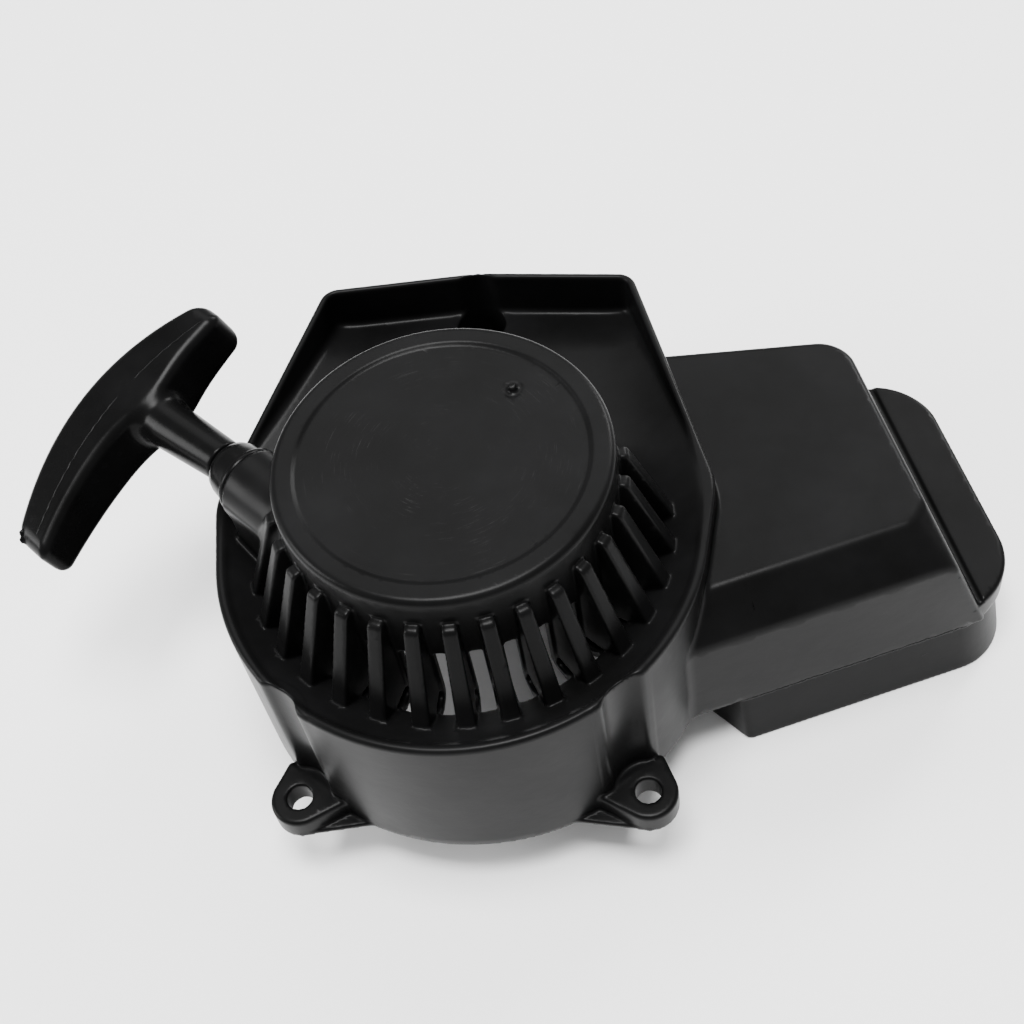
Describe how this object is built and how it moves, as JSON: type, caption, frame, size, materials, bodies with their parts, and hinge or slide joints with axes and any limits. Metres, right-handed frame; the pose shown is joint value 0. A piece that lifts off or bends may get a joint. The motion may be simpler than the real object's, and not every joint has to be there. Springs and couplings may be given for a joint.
{
  "type": "recoil starter",
  "caption": "Recoil starter for a small two-stroke engine: vented housing with a side cooling duct, sprung rope reel with pawls, and a T-handle on its pull rope.",
  "frame": {"origin": "on the crank axis, in the plane of the mounting face", "axes": "+Z points out of the engine along the crank axis, +X through the front bolt holes towards the cooling duct, +Y towards the rear bolt hole"},
  "size_m": [0.2397, 0.1424, 0.092],
  "materials": {
    "housing_plastic": "moulded black plastic with a faint satin sheen",
    "bush_plastic": "smooth black nylon",
    "handle_plastic": "moulded black plastic with a fine mould seam",
    "reel_plastic": "dark grey nylon",
    "steel": "zinc-plated sheet steel",
    "spring_steel": "oiled blue spring steel",
    "brass": "turned brass",
    "rope": "braided off-white nylon"
  },
  "bodies": {
    "housing": {"starter_housing": "housing_plastic", "rope_guide_bush": "bush_plastic", "post_insert": "brass", "spring_cup": "steel", "mainspring": "spring_steel", "thrust_washer": "steel", "friction_spring": "spring_steel", "centre_washer": "steel", "centre_screw": "steel"},
    "reel": {"rope_reel": "reel_plastic", "pawl_pin_1": "steel", "pawl_pin_2": "steel", "rope_coil": "rope", "reel_knot": "rope", "pawl_spring_1": "spring_steel", "pawl_spring_2": "spring_steel"},
    "pawl_a": {"pawl_1": "steel"},
    "pawl_b": {"pawl_2": "steel"},
    "plate": {"guide_plate": "steel"},
    "rope_end": {"rope_lead": "rope", "knot_washer": "steel", "handle_knot": "rope"},
    "handle": {"handle_grip": "handle_plastic"}
  },
  "joints": [
    {"name": "handle_pull", "type": "slide", "parent": "housing", "child": "rope_end", "axis": [-0.7431, 0.6691, 0], "range_m": [0, 0.72], "stiffness_N_per_m": 30, "springref_m": -0.5},
    {"name": "handle_twist", "type": "hinge", "parent": "rope_end", "child": "handle", "pos_m": [-0.07698, 0.03406, 0.058], "axis": [-0.7431, 0.6691, 0], "range_deg": [-75, 150]},
    {"name": "reel_spin", "type": "hinge", "parent": "housing", "child": "reel", "pos_m": [0, 0, 0.058], "axis": [0, 0, -1], "range_deg": [0, 1840]},
    {"name": "guide_plate_turn", "type": "hinge", "parent": "reel", "child": "plate", "pos_m": [0, 0, 0.0465], "axis": [0, 0, 1], "range_deg": [0, 25]},
    {"name": "pawl_1_swing", "type": "hinge", "parent": "reel", "child": "pawl_a", "pos_m": [0.022, 0, 0.049], "axis": [0, 0, 1], "range_deg": [0, 35]},
    {"name": "pawl_2_swing", "type": "hinge", "parent": "reel", "child": "pawl_b", "pos_m": [-0.022, 0, 0.049], "axis": [0, 0, 1], "range_deg": [0, 35]}
  ],
  "couplings": [
    {"joint": "reel_spin", "follows": "handle_pull", "rad_per_m": 44.4},
    {"joint": "pawl_1_swing", "follows": "guide_plate_turn", "ratio": 1.4},
    {"joint": "pawl_2_swing", "follows": "guide_plate_turn", "ratio": 1.4}
  ]
}
